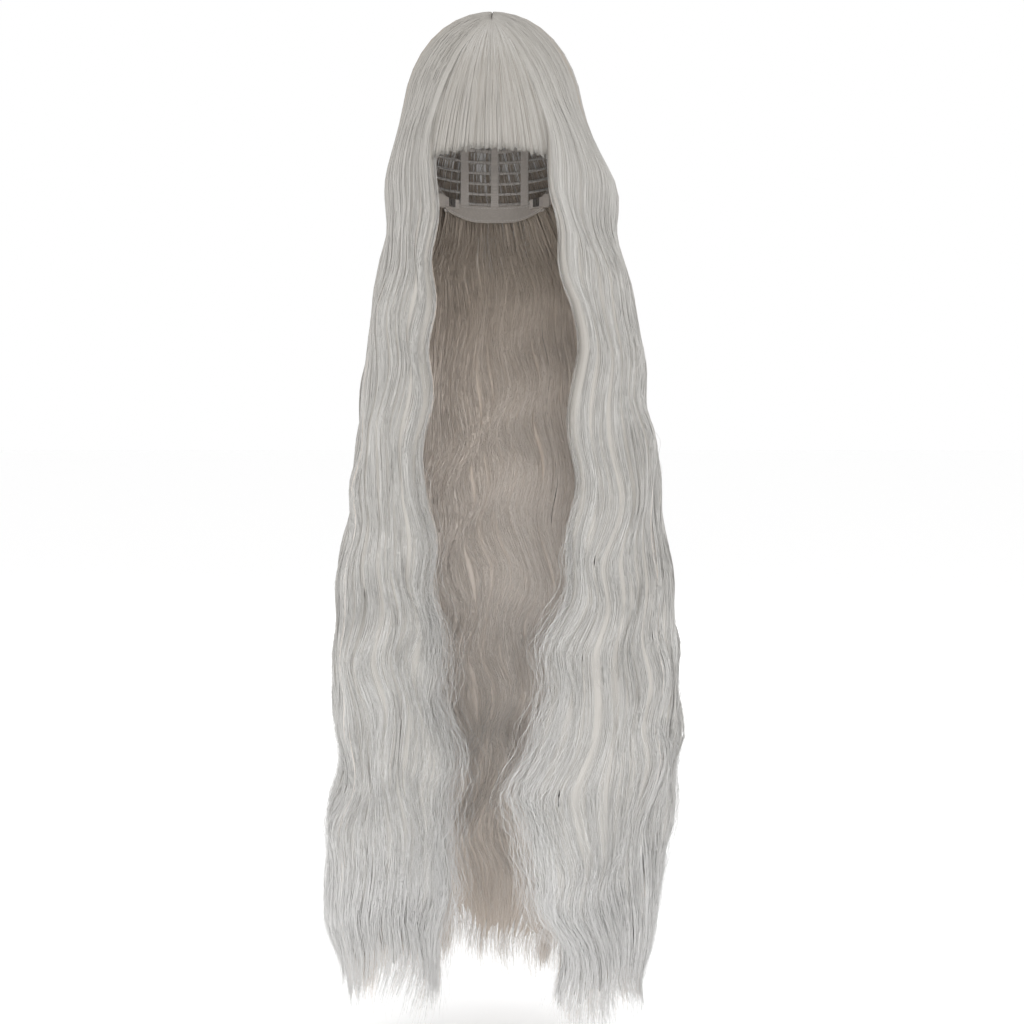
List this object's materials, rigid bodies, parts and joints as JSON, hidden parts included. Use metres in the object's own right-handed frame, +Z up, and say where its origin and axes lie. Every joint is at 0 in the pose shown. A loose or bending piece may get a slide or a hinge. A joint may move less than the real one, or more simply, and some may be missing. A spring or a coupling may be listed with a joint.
{
  "type": "long wavy costume wig",
  "caption": "Very long wavy costume wig with a blunt fringe, front locks, side and back falls, on an adjustable stretch cap with wefts, ear tabs and nape straps.",
  "frame": {"origin": "middle of the head opening, level with the top of the ears, where the head fills the cap", "axes": "+Z up towards the crown, -Y the way the wearer faces, +X the wearer's left"},
  "size_m": [0.395, 0.254, 1.077],
  "materials": {
    "hair_fibre": "silky synthetic fibre, silvery warm grey, in long waves",
    "cap_net": "open stretch net",
    "cap_band": "woven stretch band with stitched edges",
    "crown_tape": "woven tape",
    "scalp_fabric": "fine woven skin-coloured fabric",
    "weft": "overlocked weft track",
    "elastic": "ribbed elastic",
    "hook_plastic": "moulded plastic",
    "stay_plastic": "flexible plastic strip"
  },
  "bodies": {
    "cap": {"crown_net": "cap_net", "front_band": "cap_band", "nape_band": "cap_band", "ear_arch_left": "cap_band", "ear_arch_right": "cap_band", "crown_tape_centre": "crown_tape", "crown_tape_left": "crown_tape", "crown_tape_right": "crown_tape", "scalp_patch": "scalp_fabric", "strap_sleeve_left": "elastic", "strap_sleeve_right": "elastic", "hook_ladder_left": "elastic", "hook_ladder_right": "elastic", "weft_row_01": "weft", "weft_row_02": "weft", "weft_row_03": "weft", "weft_row_04": "weft", "weft_row_05": "weft", "weft_row_06": "weft", "weft_row_07": "weft", "weft_row_08": "weft", "weft_row_09": "weft", "weft_row_10": "weft", "weft_row_11": "weft", "weft_row_12": "weft", "crown_hair_front": "hair_fibre", "crown_hair_left": "hair_fibre", "crown_hair_right": "hair_fibre", "crown_hair_back": "hair_fibre"},
    "fringe": {"fringe": "hair_fibre"},
    "front_lock_left": {"front_lock_left": "hair_fibre"},
    "side_fall_left": {"side_fall_left": "hair_fibre"},
    "back_fall_left": {"back_fall_left": "hair_fibre"},
    "front_lock_right": {"front_lock_right": "hair_fibre"},
    "side_fall_right": {"side_fall_right": "hair_fibre"},
    "back_fall_right": {"back_fall_right": "hair_fibre"},
    "back_fall_centre": {"back_fall_centre": "hair_fibre"},
    "ear_tab_left": {"ear_tab_left": "cap_band", "ear_stay_left": "stay_plastic"},
    "adjuster_left": {"adjuster_strap_left": "elastic", "strap_hook_left": "hook_plastic"},
    "ear_tab_right": {"ear_tab_right": "cap_band", "ear_stay_right": "stay_plastic"},
    "adjuster_right": {"adjuster_strap_right": "elastic", "strap_hook_right": "hook_plastic"}
  },
  "joints": [
    {"name": "fringe_lift", "type": "hinge", "parent": "cap", "child": "fringe", "pos_m": [0, -0.0948, 0.075], "axis": [-1, 0, 0], "range_deg": [0, 45], "stiffness_Nm_per_rad": 0.006, "springref_deg": -14.32},
    {"name": "front_lock_left_swing", "type": "hinge", "parent": "cap", "child": "front_lock_left", "pos_m": [0.08177, -0.06504, 0.032], "axis": [-0.6225, -0.7826, 0], "range_deg": [0, 30]},
    {"name": "side_fall_left_swing", "type": "hinge", "parent": "cap", "child": "side_fall_left", "pos_m": [0.09774, 0.00855, 0.032], "axis": [0.0872, -0.9962, 0], "range_deg": [0, 30]},
    {"name": "back_fall_left_swing", "type": "hinge", "parent": "cap", "child": "back_fall_left", "pos_m": [0.07204, 0.08, 0.032], "axis": [0.7431, -0.6691, 0], "range_deg": [0, 30]},
    {"name": "front_lock_right_swing", "type": "hinge", "parent": "cap", "child": "front_lock_right", "pos_m": [-0.08177, -0.06504, 0.032], "axis": [-0.6225, 0.7826, 0], "range_deg": [0, 30]},
    {"name": "side_fall_right_swing", "type": "hinge", "parent": "cap", "child": "side_fall_right", "pos_m": [-0.09774, 0.00855, 0.032], "axis": [0.0872, 0.9962, 0], "range_deg": [0, 30]},
    {"name": "back_fall_right_swing", "type": "hinge", "parent": "cap", "child": "back_fall_right", "pos_m": [-0.07204, 0.08, 0.032], "axis": [0.7431, 0.6691, 0], "range_deg": [0, 30]},
    {"name": "back_fall_centre_swing", "type": "hinge", "parent": "cap", "child": "back_fall_centre", "pos_m": [0, 0.118, 0.032], "axis": [1, 0, 0], "range_deg": [0, 30]},
    {"name": "ear_tab_left_bend", "type": "hinge", "parent": "cap", "child": "ear_tab_left", "pos_m": [0.0778, -0.022, 0.014], "axis": [0, -1, 0], "range_deg": [0, 15], "stiffness_Nm_per_rad": 0.004},
    {"name": "adjuster_left_slide", "type": "slide", "parent": "cap", "child": "adjuster_left", "axis": [-0.682, 0.7314, 0], "range_m": [0, 0.012]},
    {"name": "ear_tab_right_bend", "type": "hinge", "parent": "cap", "child": "ear_tab_right", "pos_m": [-0.0778, -0.022, 0.014], "axis": [0, 1, 0], "range_deg": [0, 15], "stiffness_Nm_per_rad": 0.004},
    {"name": "adjuster_right_slide", "type": "slide", "parent": "cap", "child": "adjuster_right", "axis": [0.682, 0.7314, 0], "range_m": [0, 0.012]}
  ]
}
